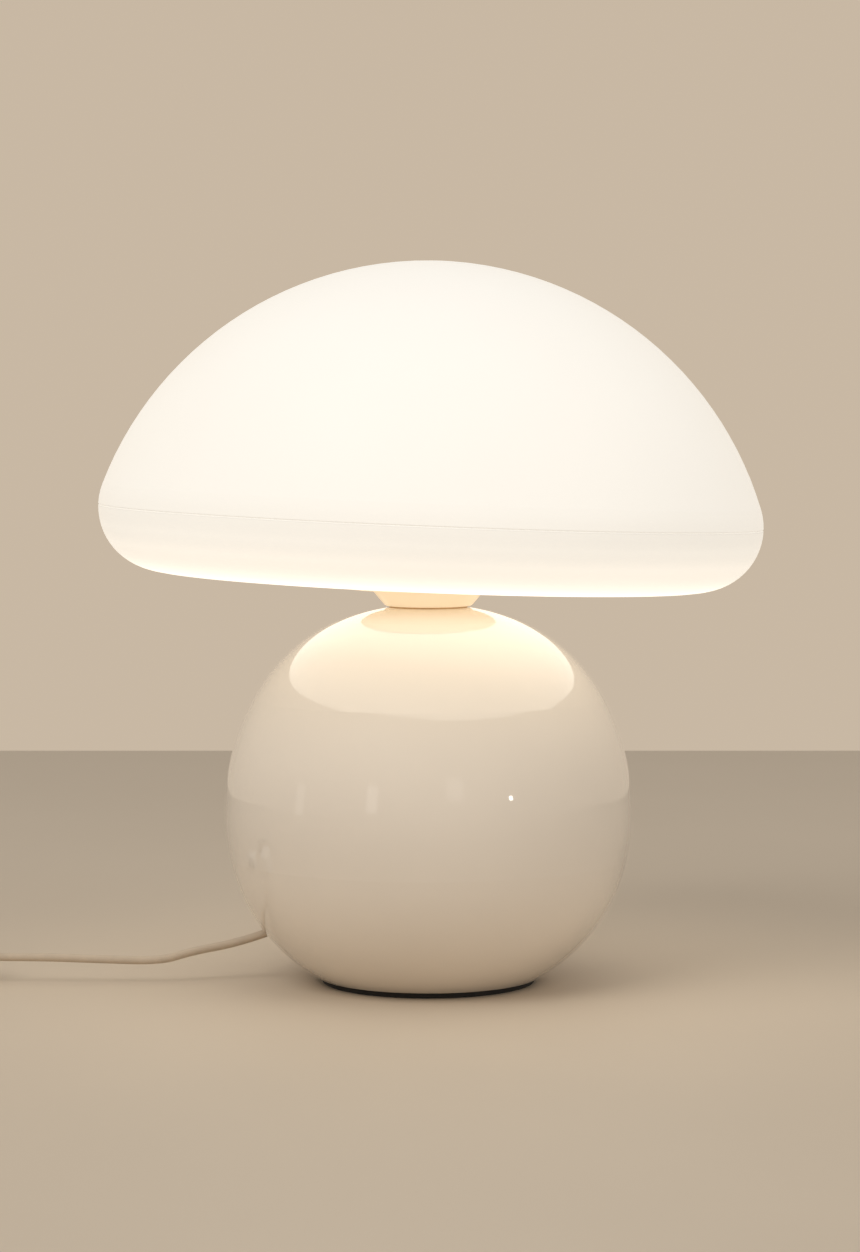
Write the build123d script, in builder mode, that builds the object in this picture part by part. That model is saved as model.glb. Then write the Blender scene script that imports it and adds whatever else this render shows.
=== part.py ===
from build123d import *
import os
from math import acos, atan2, cos, degrees, pi, radians, sin, sqrt, tan

os.makedirs("parts", exist_ok=True)

# Mushroom table lamp, in millimetres, +Z up. The origin is the centre of the foot's underside, on the
# lamp's axis. +X is to the right and +Y is away from the viewer; the cord leaves towards -X.

# ---------------------------------------------------------------- clearances
fit_gap = 0.05  # round a piece that is screwed, pressed or glued into another
loose_gap = 0.3  # round a piece that is dropped in or moves freely

# ---------------------------------------------------------------- shade: two bonded opal shells
shade_diameter = 300.0  # across the widest circle, where the two shells meet
shade_height = 143.6  # underside to crown, along the shade's own axis
shade_rim_radius = 28.5  # the round between the flat underside and the dome
shade_wall = 2.6
shade_tilt = 2.3  # degrees: the shade sits askew, its low side towards +X
shade_opening_diameter = 60.0  # lets the bulb through when the shade is lifted off
shade_lap_height = 4.0  # the pan's tongue inside the dome
shade_seam_notch = 0.4
shade_opening_round = 0.8

# ---------------------------------------------------------------- ball-shaped base, four tangent arcs
ball_diameter = 185.0
ball_foot_diameter = 101.0  # where the glazed ball meets the foot pad
ball_lower_radius = 80.0
ball_middle_radius = 109.0
ball_shoulder_radius = 77.5
ball_crown_radius = 98.5
ball_lower_angle = -10.94  # degrees of the outward normal where one arc meets the next
ball_shoulder_angle = 27.9
ball_crown_angle = 68.6
ball_land_diameter = 37.8  # flat top under the neck
ball_wall = 4.5
ball_floor = 8.4  # thickness of the ring round the underside opening
ball_ceiling = 5.0  # thickness round the top hole
ball_top_hole_diameter = 16.0
ball_edge_round = 1.0

# ---------------------------------------------------------------- underside
foot_thickness = 2.6
foot_inset = 2.1  # the pad stands in from the glaze's edge
foot_edge_round = 0.6
rebate_inset = 7.5  # width of the ceramic foot ring
rebate_depth = 4.0
plate_ledge = 5.5  # width on which the bottom plate bears
plate_thickness = 1.5
plate_rise = 8.0  # the plate is dished upwards to make room for the nut
plate_slope_width = 2.5
ballast_thickness = 16.0
ballast_clearance = 2.0  # all round, inside the underside opening
ballast_edge_round = 1.5

# ---------------------------------------------------------------- clamping tube and its fasteners
tube_diameter = 10.0
tube_bore = 6.8
tube_end_chamfer = 0.6
tube_below_nut = 1.3
nut_across_flats = 14.0
nut_thickness = 4.0
washer_diameter = 20.0
washer_thickness = 1.2
tube_slot_length = 26.0  # side window where the lead enters the tube
tube_slot_width = 4.8
tube_slot_height = 83.0

# ---------------------------------------------------------------- neck
neck_washer_thickness = 0.6
neck_washer_diameter = 35.4
neck_base_diameter = 38.9  # where the flare's cone would meet the collar's underside
neck_flare_angle = 49.5  # degrees from the horizontal
neck_base_round = 2.7
neck_flare_height = 7.7
neck_wall = 2.5
neck_floor = 3.0
neck_spigot_length = 3.8
neck_brim_overlap = 5.5  # the brim reaches this far under the shade, outside its opening
neck_brim_thickness = 1.6
neck_brim_round = 0.6
neck_lip_wall = 1.5
neck_lip_height = 6.0
neck_lip_clearance = 1.0  # round the lip, inside the shade's opening
gasket_thickness = 2.7  # at the lamp's axis; the tipped shade squashes the low side
gasket_width = 4.4
gasket_inset = 0.8

# ---------------------------------------------------------------- lampholder for a small screw cap
holder_diameter = 28.4
holder_cap_height = 19.5
holder_cap_floor = 5.0
holder_tube_end = 1.0  # the clamping tube's end stands this far above the cap's floor
holder_ledge_height = 14.0
holder_cap_bore = 21.6
holder_recess = 26.0
holder_barrel_bore = 22.8
holder_barrel_height = 28.5
holder_edge_round = 1.0
insert_disc_thickness = 3.0
insert_tower_diameter = 19.4
insert_tower_height = 20.5
insert_core_height = 6.0
holder_shell_wall = 0.3
thread_pitch = 2.82
thread_turns = 4
thread_crest_diameter = 13.89
thread_root_diameter = 12.29
thread_gap = 0.14  # between the bulb's cap and the shell, on the radius
spring_width = 4.0
spring_thickness = 0.4
spring_length = 11.0
terminal_screw_diameter = 3.0
terminal_head_diameter = 5.0
terminal_head_height = 1.4
terminal_screw_length = 5.0
terminal_spacing = 13.6
core_diameter = 1.5
core_spacing = 1.7
core_bend_run = 1.8
core_bend_radius = 1.5

# ---------------------------------------------------------------- bulb
bulb_diameter = 45.0
bulb_length = 80.0
bulb_globe_wall = 1.0
bulb_housing_wall = 3.4  # at the mouth, beside the board
bulb_mouth_diameter = 32.4
bulb_waist_diameter = 16.0
bulb_tip_diameter = 4.4
bulb_tip_height = 1.5
bulb_insulator_height = 3.0
bulb_cap_wall = 0.3
bulb_cap_collar = 4.0
bulb_board_thickness = 1.4
bulb_board_gap = 0.6
bulb_chip_size = 3.0
bulb_chip_height = 0.7
bulb_chip_count = 8
bulb_chip_circle = 18.0

# ---------------------------------------------------------------- cord
cord_diameter = 3.8
cord_exit_height = 21.9
cord_exit_angle = 20.0  # degrees below the horizontal
cord_exit_depth = 3.0  # where the free cord starts, inside the bush
cord_straight = 13.5  # the cord stands straight out of the base this far
cord_line_y = -8.0  # the cord and the switch lie a little in front of the lamp's axis
bush_diameter = 8.0
bush_flange_diameter = 12.4
bush_flange_depth = 9.0
bush_flush_inset = 0.4
bush_bore_gap = 0.1
stop_tie_depth = 9.4  # cable tie behind the bush that stops the lead from being pulled out
stop_tie_width = 2.6
stop_tie_thickness = 1.1
stop_tie_head = 4.6
lead_inside_length = 27.6  # from the free cord's start to the lead's first bend
lead_rise_radius = 40.0
lead_window_height = 86.0  # where the lead turns up inside the clamping tube
lead_window_radius = 30.0
cord_inside_fitting = 9.0  # length of cord inside the switch's entry

# ---------------------------------------------------------------- in-line switch
switch_x = -235.0
switch_length = 64.0
switch_width = 26.0
switch_end_width = 13.0
switch_half_height = 12.1  # the cord enters on the parting plane
switch_shoulder = 12.0  # length of each narrowing end
switch_corner_round = 5.0
switch_edge_round = 3.0
switch_wall = 1.8
switch_floor = 2.0
rocker_length = 20.8
rocker_width = 10.6
rocker_window_gap = 1.3  # at each end of the rocker
rocker_side_gap = 0.4
rocker_pivot_below_top = 4.8
rocker_centre_rise = 4.4
rocker_end_rise = 6.6
rocker_depth = 2.6
rocker_edge_round = 0.7
rocker_tilt = 7.0  # degrees each way; the rest pose is on
rocker_pin_diameter = 2.0
cheek_length = 6.0
cheek_thickness = 1.8
cheek_depth = 4.6
stem_width = 3.0
stem_length = 3.4
seesaw_length = 17.0
seesaw_width = 4.0
seesaw_thickness = 0.6
contact_spacing = 7.0
contact_size = 5.0
contact_block_height = 4.0
contact_post_thickness = 0.8
core_dip_run = 4.0  # the cores' way down to the contacts' level
core_sweep_y = 4.6  # the through core passes beside the contacts
boss_diameter = 5.2
boss_offset_x = 17.0
boss_offset_y = 8.0
switch_screw_diameter = 2.2
switch_screw_head = 4.0
switch_screw_head_height = 1.5
switch_screw_length = 12.0
clamp_length = 4.0
clamp_width = 9.0
clamp_inset = 4.0
clamp_rise = 3.6

# ---------------------------------------------------------------- put-away coil
coil_x = -331.0
coil_mean_radius = 22.0
coil_pitch = 4.3
coil_layers = 4
coil_half_turns_per_layer = 5
coil_sides = 6
tie_width = 4.0
tie_thickness = 1.0
tie_gap = 0.15
tie_inner_room = 1.0
tie_corner_round = 2.0

# ---------------------------------------------------------------- plug
plug_x = -285.0  # where the cord meets the plug's strain relief
plug_turn = 10.0  # degrees: the pins point past the lamp's foot, so that a socket can reach them
plug_lead_run = 14.0  # the cord's straight run into the strain relief
plug_relief_length = 20.0
plug_relief_diameter = 9.0
plug_relief_tip_diameter = 5.6
plug_groove_count = 4
plug_groove_width = 1.4
plug_groove_depth = 0.8
plug_body_length = 36.0
plug_body_width = 35.3
plug_neck_width = 13.0
plug_thickness = 13.7
plug_shoulder = 14.0
plug_corner_round = 4.0
plug_edge_round = 3.0
plug_pin_diameter = 4.0
plug_pin_length = 19.0
plug_pin_spacing = 18.6
plug_sleeve_length = 10.0
plug_core_diameter = 2.6
plug_sleeve_diameter = 3.5

LOW_LEFT = (Align.MIN, Align.MIN)


# ---------------------------------------------------------------- shared geometry
def upright(height):
    """Half-section plane: x runs outwards from the lamp's axis and y runs up from a height."""
    return Plane(origin=(0, 0, height), x_dir=(1, 0, 0), z_dir=(0, -1, 0))


def on_circle(centre, radius, angle):
    """The point of a circle in a half section at an angle in degrees."""
    return (centre[0] + radius * cos(radians(angle)), centre[1] + radius * sin(radians(angle)))


def whole_rings(piece):
    """The closed circular edges of a piece, smallest first."""
    circles = piece.edges().filter_by(GeomType.CIRCLE)
    return circles.filter_by(lambda edge: edge.is_closed).sort_by(SortBy.RADIUS)


def arc_to_axis(centre, radius):
    """Angle at which an arc is level, or meets the axis first."""
    return degrees(acos(max(0.0, -centre[0] / radius)))


# ---------------------------------------------------------------- ball: centres of the tangent arcs
ball_radius = ball_diameter / 2
ball_foot_radius = ball_foot_diameter / 2
lower_run = ball_middle_radius - ball_lower_radius
lower_centre_r = ball_radius - ball_middle_radius + lower_run * cos(radians(ball_lower_angle))
lower_centre_z = foot_thickness + sqrt(ball_lower_radius**2 - (ball_foot_radius - lower_centre_r) ** 2)
lower_centre = (lower_centre_r, lower_centre_z)
middle_centre = on_circle(lower_centre, -lower_run, ball_lower_angle)
shoulder_centre = on_circle(middle_centre, ball_middle_radius - ball_shoulder_radius, ball_shoulder_angle)
crown_centre = on_circle(shoulder_centre, ball_shoulder_radius - ball_crown_radius, ball_crown_angle)
ball_land_radius = ball_land_diameter / 2
ball_top = crown_centre[1] + sqrt(ball_crown_radius**2 - (ball_land_radius - crown_centre[0]) ** 2)
ball_reach = ball_radius + ball_wall  # wider than any half section of the base


def ball_section(inset, bottom, top):
    """Half section of the ball, moved inwards by inset and cut level at two heights."""
    lower = ball_lower_radius - inset
    middle = ball_middle_radius - inset
    shoulder = ball_shoulder_radius - inset
    crown = ball_crown_radius - inset
    crown_end = arc_to_axis(crown_centre, crown)
    lower_end = -arc_to_axis(lower_centre, lower)
    with BuildSketch() as section:
        with BuildLine():
            low = CenterArc(lower_centre, lower, lower_end, ball_lower_angle - lower_end)
            CenterArc(middle_centre, middle, ball_lower_angle, ball_shoulder_angle - ball_lower_angle)
            CenterArc(shoulder_centre, shoulder, ball_shoulder_angle, ball_crown_angle - ball_shoulder_angle)
            high = CenterArc(crown_centre, crown, ball_crown_angle, crown_end - ball_crown_angle)
            top_point = high @ 1
            low_point = low @ 0
            Polyline(top_point, (0, top_point.Y), (0, low_point.Y), low_point)
        make_face()
        with Locations((0, bottom)):
            Rectangle(ball_reach, top - bottom, align=LOW_LEFT, mode=Mode.INTERSECT)
    return section.sketch


# ---------------------------------------------------------------- underside heights and radii
rebate_radius = ball_foot_radius - rebate_inset
opening_radius = rebate_radius - plate_ledge
plate_top = foot_thickness + rebate_depth
dish_top = plate_top + plate_rise
dish_radius = opening_radius - plate_slope_width - ballast_clearance
ball_floor_top = foot_thickness + ball_floor
tube_radius = tube_diameter / 2
tube_hole_radius = tube_radius + fit_gap
lower_washer_base = dish_top - plate_thickness - washer_thickness
lower_nut_base = lower_washer_base - nut_thickness
tube_bottom = lower_nut_base - tube_below_nut

# ---------------------------------------------------------------- neck and lampholder heights
neck_base = ball_top + neck_washer_thickness
neck_floor_top = neck_base + neck_floor
upper_washer_base = neck_floor_top
upper_nut_base = upper_washer_base + washer_thickness
holder_base = upper_nut_base + nut_thickness
tube_top = holder_base + holder_cap_floor + holder_tube_end
brim_top = neck_base + neck_flare_height + neck_brim_thickness
shade_seat = brim_top + gasket_thickness  # where the shade's underside crosses the lamp's axis
insert_base = holder_base + holder_ledge_height
insert_disc_top = insert_base + insert_disc_thickness
insert_core_top = insert_disc_top + insert_core_height
insert_top = insert_disc_top + insert_tower_height
barrel_base = holder_base + holder_cap_height

# ---------------------------------------------------------------- base
with BuildSketch() as ball_cavity:
    add(ball_section(ball_wall, ball_floor_top, ball_top - ball_ceiling))

cord_exit_drop = cord_exit_height - lower_centre_z
cord_exit_radius = lower_centre_r + sqrt(ball_lower_radius**2 - cord_exit_drop**2)
cord_exit = Vector(-cord_exit_radius, 0, cord_exit_height)
cord_out = Vector(-cos(radians(cord_exit_angle)), 0, -sin(radians(cord_exit_angle)))
cord_exit_plane = Plane(origin=cord_exit, x_dir=(0, 1, 0), z_dir=cord_out)
bush_hole_radius = bush_diameter / 2 + fit_gap

with BuildPart() as base_ball:
    with BuildSketch(upright(0)):
        add(ball_section(0, foot_thickness, ball_top))
        add(ball_cavity.sketch, mode=Mode.SUBTRACT)
        Rectangle(opening_radius, ball_floor_top, align=LOW_LEFT, mode=Mode.SUBTRACT)
        Rectangle(rebate_radius, plate_top, align=LOW_LEFT, mode=Mode.SUBTRACT)
        with Locations((0, ball_top)):
            Rectangle(
                ball_top_hole_diameter / 2, ball_reach, align=(Align.MIN, Align.CENTER), mode=Mode.SUBTRACT
            )
    revolve(axis=Axis.Z)
    foot_rings = whole_rings(base_ball).group_by(Axis.Z)[0]
    fillet(foot_rings.sort_by(SortBy.RADIUS)[-1], radius=ball_edge_round)
    with BuildSketch(cord_exit_plane.offset(-bush_flange_depth)):
        Circle(bush_hole_radius)
    extrude(amount=2 * bush_flange_depth, mode=Mode.SUBTRACT)
base_ball.part.label = "base_ball"
export_step(base_ball.part, "parts/base_ball.step")

with BuildPart() as foot_pad:
    with BuildSketch():
        Circle(ball_foot_radius - foot_inset)
    extrude(amount=foot_thickness)
    fillet(foot_pad.edges().group_by(Axis.Z)[0], radius=foot_edge_round)
foot_pad.part.label = "foot_pad"
export_step(foot_pad.part, "parts/foot_pad.step")

with BuildPart() as bottom_plate:
    with BuildSketch(upright(plate_top)):
        slope_foot = dish_radius + plate_slope_width
        with BuildLine():
            Polyline(
                (tube_hole_radius, plate_rise),
                (dish_radius, plate_rise),
                (slope_foot, 0),
                (rebate_radius - loose_gap, 0),
                (rebate_radius - loose_gap, -plate_thickness),
                (slope_foot - plate_thickness, -plate_thickness),
                (dish_radius - plate_thickness, plate_rise - plate_thickness),
                (tube_hole_radius, plate_rise - plate_thickness),
                close=True,
            )
        make_face()
    revolve(axis=Axis.Z)
bottom_plate.part.label = "bottom_plate"
export_step(bottom_plate.part, "parts/bottom_plate.step")

with BuildPart() as ballast_disc:
    with BuildSketch(Plane.XY.offset(dish_top)):
        Circle(opening_radius - ballast_clearance)
        Circle(tube_radius + loose_gap, mode=Mode.SUBTRACT)
    extrude(amount=ballast_thickness)
    fillet(whole_rings(ballast_disc)[-2:], radius=ballast_edge_round)
ballast_disc.part.label = "ballast_disc"
export_step(ballast_disc.part, "parts/ballast_disc.step")

# ---------------------------------------------------------------- clamping tube, nuts and washers
with BuildPart() as clamp_tube:
    with BuildSketch(Plane.XY.offset(tube_bottom)):
        Circle(tube_radius)
        Circle(tube_bore / 2, mode=Mode.SUBTRACT)
    extrude(amount=tube_top - tube_bottom)
    chamfer(whole_rings(clamp_tube)[-2:], length=tube_end_chamfer)
    with BuildSketch(Plane(origin=(0, 0, tube_slot_height), x_dir=(0, 0, 1), z_dir=(-1, 0, 0))):
        SlotOverall(tube_slot_length, tube_slot_width)
    extrude(amount=tube_diameter, mode=Mode.SUBTRACT)
clamp_tube.part.label = "clamp_tube"
export_step(clamp_tube.part, "parts/clamp_tube.step")

with BuildPart() as tube_nuts:
    for nut_base in (lower_nut_base, upper_nut_base):
        with BuildSketch(Plane.XY.offset(nut_base)):
            RegularPolygon(nut_across_flats / 2, 6, major_radius=False)
            Circle(tube_hole_radius, mode=Mode.SUBTRACT)
        extrude(amount=nut_thickness)
tube_nuts.part.label = "tube_nuts"
export_step(tube_nuts.part, "parts/tube_nuts.step")

with BuildPart() as tube_washers:
    for washer_base in (lower_washer_base, upper_washer_base):
        with BuildSketch(Plane.XY.offset(washer_base)):
            Circle(washer_diameter / 2)
            Circle(tube_hole_radius, mode=Mode.SUBTRACT)
        extrude(amount=washer_thickness)
tube_washers.part.label = "tube_washers"
export_step(tube_washers.part, "parts/tube_washers.step")

# ---------------------------------------------------------------- neck
with BuildPart() as neck_washer:
    with BuildSketch(Plane.XY.offset(ball_top)):
        Circle(neck_washer_diameter / 2)
        Circle(ball_top_hole_diameter / 2, mode=Mode.SUBTRACT)
    extrude(amount=neck_washer_thickness)
neck_washer.part.label = "neck_washer"
export_step(neck_washer.part, "parts/neck_washer.step")

neck_base_radius = neck_base_diameter / 2
flare_run = 1 / tan(radians(neck_flare_angle))  # outwards for each millimetre up
flare_skin = neck_wall / sin(radians(neck_flare_angle))
shade_opening_radius = shade_opening_diameter / 2
lip_radius = shade_opening_radius - neck_lip_clearance
lip_bore = lip_radius - neck_lip_wall
brim_radius = shade_opening_radius + neck_brim_overlap
spigot_radius = ball_top_hole_diameter / 2 - loose_gap
brim_underside = neck_flare_height
brim_upside = neck_flare_height + neck_brim_thickness
flare_top_radius = neck_base_radius + flare_run * brim_underside
bowl_foot_radius = neck_base_radius - flare_skin  # the inside cone, where it would meet the underside

with BuildPart() as neck_collar:
    with BuildSketch(upright(neck_base)):
        with BuildLine():
            outline = {
                "spigot bore": ((tube_hole_radius, -neck_spigot_length), 0),
                "spigot foot": ((spigot_radius, -neck_spigot_length), 0),
                "spigot root": ((spigot_radius, 0), 0),
                "base": ((neck_base_radius, 0), neck_base_round),
                "brim root": ((flare_top_radius, brim_underside), neck_brim_round),
                "brim low": ((brim_radius, brim_underside), neck_brim_round),
                "brim high": ((brim_radius, brim_upside), neck_brim_round),
                "lip root": ((lip_radius, brim_upside), 0),
                "lip outside": ((lip_radius, brim_upside + neck_lip_height), 0),
                "lip inside": ((lip_bore, brim_upside + neck_lip_height), 0),
                "shelf": ((lip_bore, brim_upside), 0),
                "bowl": ((bowl_foot_radius + flare_run * brim_upside, brim_upside), 0),
                "floor": ((bowl_foot_radius + flare_run * neck_floor, neck_floor), 0),
                "floor bore": ((tube_hole_radius, neck_floor), 0),
            }
            corners = [corner for corner, _ in outline.values()]
            rounds = [radius for _, radius in outline.values()]
            FilletPolyline(*corners, radius=rounds, close=True)
        make_face()
    revolve(axis=Axis.Z)
neck_collar.part.label = "neck_collar"
export_step(neck_collar.part, "parts/neck_collar.step")

# ---------------------------------------------------------------- shade in its own tipped axes
tilt = radians(shade_tilt)
shade_across = (cos(tilt), 0, -sin(tilt))
shade_axis = Axis((0, 0, shade_seat), (sin(tilt), 0, cos(tilt)))
shade_plane = Plane(origin=(0, 0, shade_seat), x_dir=shade_across, z_dir=(0, -1, 0))
shade_underside = Plane(origin=(0, 0, shade_seat), x_dir=shade_across, z_dir=shade_axis.direction)
rim_centre_r = shade_diameter / 2 - shade_rim_radius
dome_span = shade_height - shade_rim_radius
dome_centre = (dome_span**2 - rim_centre_r**2 - shade_rim_radius**2) / (2 * (dome_span - shade_rim_radius))
dome_radius = shade_height - dome_centre
dome_angle = degrees(atan2(shade_rim_radius - dome_centre, rim_centre_r))
seam_height = shade_rim_radius


def shade_section(inset, bottom, top):
    """Half section of the shade in its own axes, moved inwards by inset and cut level at two heights."""
    with BuildSketch() as section:
        with BuildLine():
            rim = CenterArc((rim_centre_r, shade_rim_radius), shade_rim_radius - inset, -90, 90 + dome_angle)
            dome = CenterArc((0, dome_centre), dome_radius - inset, dome_angle, 90 - dome_angle)
            Polyline(dome @ 1, (0, inset), rim @ 0)
        make_face()
        with Locations((0, bottom)):
            Rectangle(shade_diameter, top - bottom, align=LOW_LEFT, mode=Mode.INTERSECT)
    return section.sketch


lap_inset = shade_wall / 2
with BuildPart() as shade_dome:
    with BuildSketch(shade_plane):
        add(shade_section(0, seam_height, shade_height))
        add(shade_section(shade_wall, seam_height, shade_height), mode=Mode.SUBTRACT)
        add(shade_section(lap_inset, seam_height, seam_height + shade_lap_height), mode=Mode.SUBTRACT)
    revolve(axis=shade_axis)
    chamfer(whole_rings(shade_dome)[-1], length=shade_seam_notch)
shade_dome.part.label = "shade_dome"
export_step(shade_dome.part, "parts/shade_dome.step")

with BuildPart() as shade_pan:
    tongue_top = seam_height + shade_lap_height - fit_gap
    with BuildSketch(shade_plane):
        add(shade_section(0, 0, seam_height))
        add(shade_section(lap_inset + fit_gap, seam_height, tongue_top))
        add(shade_section(shade_wall, 0, tongue_top), mode=Mode.SUBTRACT)
        Rectangle(shade_opening_radius, seam_height, align=LOW_LEFT, mode=Mode.SUBTRACT)
    revolve(axis=shade_axis)
    chamfer(whole_rings(shade_pan)[-1], length=shade_seam_notch)
    fillet(whole_rings(shade_pan)[:2], radius=shade_opening_round)
shade_pan.part.label = "shade_pan"
export_step(shade_pan.part, "parts/shade_pan.step")

with BuildPart() as shade_gasket:
    gasket_outer = brim_radius - gasket_inset
    with BuildSketch(Plane.XY.offset(brim_top)):
        Circle(gasket_outer)
        Circle(gasket_outer - gasket_width, mode=Mode.SUBTRACT)
    extrude(amount=2 * gasket_thickness)
    split(bisect_by=shade_underside.offset(-loose_gap), keep=Keep.BOTTOM)
shade_gasket.part.label = "shade_gasket"
export_step(shade_gasket.part, "parts/shade_gasket.step")

# ---------------------------------------------------------------- lampholder
holder_radius = holder_diameter / 2
with BuildPart() as holder_cap:
    with BuildSketch(Plane.XY.offset(holder_base)):
        Circle(holder_radius)
    extrude(amount=holder_cap_height)
    fillet(holder_cap.edges().group_by(Axis.Z)[0], radius=holder_edge_round)
    with BuildSketch(Plane.XY.offset(holder_base)):
        Circle(tube_hole_radius)
    extrude(amount=holder_cap_height, mode=Mode.SUBTRACT)
    with BuildSketch(Plane.XY.offset(holder_base + holder_cap_floor)):
        Circle(holder_cap_bore / 2)
    extrude(amount=holder_cap_height, mode=Mode.SUBTRACT)
    with BuildSketch(Plane.XY.offset(insert_base)):
        Circle(holder_recess / 2)
    extrude(amount=holder_cap_height, mode=Mode.SUBTRACT)
holder_cap.part.label = "holder_cap"
export_step(holder_cap.part, "parts/holder_cap.step")

with BuildPart() as holder_barrel:
    with BuildSketch(Plane.XY.offset(barrel_base)):
        Circle(holder_radius)
    extrude(amount=holder_barrel_height)
    with BuildSketch(Plane.XY.offset(insert_disc_top)):
        Circle(holder_recess / 2 - fit_gap)
    extrude(amount=barrel_base - insert_disc_top)
    with BuildSketch(Plane.XY.offset(insert_disc_top)):
        Circle(holder_barrel_bore / 2)
    extrude(amount=holder_barrel_height + holder_cap_height, mode=Mode.SUBTRACT)
    fillet(holder_barrel.edges().group_by(Axis.Z)[-1], radius=holder_edge_round)
holder_barrel.part.label = "holder_barrel"
export_step(holder_barrel.part, "parts/holder_barrel.step")

terminal_places = [(terminal_spacing / 2, 0), (-terminal_spacing / 2, 0)]
shell_crest = thread_crest_diameter / 2 + thread_gap
shell_root = thread_root_diameter / 2 + thread_gap
shell_outer_crest = shell_crest + holder_shell_wall
bulb_tip_z = insert_core_top + spring_thickness + loose_gap
shell_base = insert_core_top + fit_gap
thread_base = bulb_tip_z + bulb_tip_height + bulb_insulator_height
thread_height = thread_pitch * thread_turns

with BuildPart() as holder_insert:
    with BuildSketch(Plane.XY.offset(insert_base)):
        Circle(holder_recess / 2 - fit_gap)
    extrude(amount=insert_disc_thickness)
    with BuildSketch(Plane.XY.offset(insert_disc_top)):
        Circle(insert_tower_diameter / 2)
    extrude(amount=insert_tower_height)
    with BuildSketch(Plane.XY.offset(insert_core_top)):
        Circle(shell_outer_crest + fit_gap)
    extrude(amount=insert_tower_height, mode=Mode.SUBTRACT)
    with BuildSketch(Plane.XY.offset(insert_base)):
        with Locations(*terminal_places):
            Circle(terminal_screw_diameter / 2 + fit_gap)
    extrude(amount=terminal_screw_length, mode=Mode.SUBTRACT)
holder_insert.part.label = "holder_insert"
export_step(holder_insert.part, "parts/holder_insert.step")

with BuildPart() as terminal_screws:
    with BuildSketch(Plane.XY.offset(insert_base)):
        with Locations(*terminal_places):
            Circle(terminal_screw_diameter / 2)
    extrude(amount=terminal_screw_length - fit_gap)
    with BuildSketch(Plane.XY.offset(insert_base)):
        with Locations(*terminal_places):
            Circle(terminal_head_diameter / 2)
    extrude(amount=-terminal_head_height)
terminal_screws.part.label = "terminal_screws"
export_step(terminal_screws.part, "parts/terminal_screws.step")

with BuildPart() as centre_contact:
    with BuildSketch(Plane.XY.offset(insert_core_top)):
        Rectangle(spring_length, spring_width)
    extrude(amount=spring_thickness)
centre_contact.part.label = "centre_contact"
export_step(centre_contact.part, "parts/centre_contact.step")


def thread_outline(crest, root, base):
    """Corners of a screw thread's half section, ring by ring, from its base upwards."""
    corners = []
    for turn in range(thread_turns):
        foot = base + turn * thread_pitch
        corners += [(root, foot), (crest, foot + thread_pitch / 2)]
    return corners + [(root, base + thread_height)]


with BuildPart() as holder_shell:
    inside = thread_outline(shell_crest, shell_root, thread_base)
    outside = thread_outline(shell_outer_crest, shell_root + holder_shell_wall, thread_base)
    with BuildSketch(upright(0)):
        with BuildLine():
            Polyline(
                (shell_root, shell_base + spring_thickness + fit_gap),
                *inside,
                *reversed(outside),
                (shell_root + holder_shell_wall, shell_base + spring_thickness + fit_gap),
                close=True,
            )
        make_face()
    revolve(axis=Axis.Z)
holder_shell.part.label = "holder_shell"
export_step(holder_shell.part, "parts/holder_shell.step")

# ---------------------------------------------------------------- bulb
bulb_radius = bulb_diameter / 2
mouth_radius = bulb_mouth_diameter / 2
waist_radius = bulb_waist_diameter / 2
cap_base = thread_base
cap_top = thread_base + thread_height + bulb_cap_collar
globe_centre_z = bulb_tip_z + bulb_length - bulb_radius
mouth_z = globe_centre_z - sqrt(bulb_radius**2 - mouth_radius**2)
insulator_radius = thread_root_diameter / 2 - bulb_cap_wall - fit_gap

with BuildPart() as bulb_tip:
    with BuildSketch(Plane.XY.offset(bulb_tip_z)):
        Circle(bulb_tip_diameter / 2)
    extrude(amount=bulb_tip_height)
    fillet(bulb_tip.edges().group_by(Axis.Z)[0], radius=bulb_tip_height / 2)
bulb_tip.part.label = "bulb_tip"
export_step(bulb_tip.part, "parts/bulb_tip.step")

with BuildPart() as bulb_insulator:
    insulator_base = bulb_tip_z + bulb_tip_height
    with BuildSketch(upright(insulator_base)):
        with BuildLine():
            Polyline(
                (0, 0),
                (bulb_tip_diameter / 2, 0),
                (thread_root_diameter / 2, bulb_insulator_height),
                (0, bulb_insulator_height),
                close=True,
            )
        make_face()
    revolve(axis=Axis.Z)
bulb_insulator.part.label = "bulb_insulator"
export_step(bulb_insulator.part, "parts/bulb_insulator.step")

with BuildPart() as bulb_cap:
    rings = thread_outline(thread_crest_diameter / 2, thread_root_diameter / 2, cap_base)
    with BuildSketch(upright(0)):
        with BuildLine():
            Polyline(
                *rings,
                (waist_radius, cap_base + thread_height + bulb_cap_collar / 2),
                (waist_radius, cap_top),
                (insulator_radius, cap_top),
                (insulator_radius, cap_base),
                close=True,
            )
        make_face()
    revolve(axis=Axis.Z)
bulb_cap.part.label = "bulb_cap"
export_step(bulb_cap.part, "parts/bulb_cap.step")

with BuildPart() as bulb_housing:
    with BuildSketch(upright(0)):
        with BuildLine():
            flare_ends = [(waist_radius, cap_top), (mouth_radius, mouth_z)]
            flare = Spline(*flare_ends, tangents=((0, 1), (1, 1)), tangent_scalars=(1, 0.6))
            Polyline(flare @ 1, (0, mouth_z), (0, cap_top), flare @ 0)
        make_face()
    revolve(axis=Axis.Z)
    with BuildSketch(Plane.XY.offset(mouth_z)):
        Circle(mouth_radius - bulb_housing_wall)
    extrude(amount=-bulb_board_thickness - bulb_board_gap, mode=Mode.SUBTRACT)
bulb_housing.part.label = "bulb_housing"
export_step(bulb_housing.part, "parts/bulb_housing.step")

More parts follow.
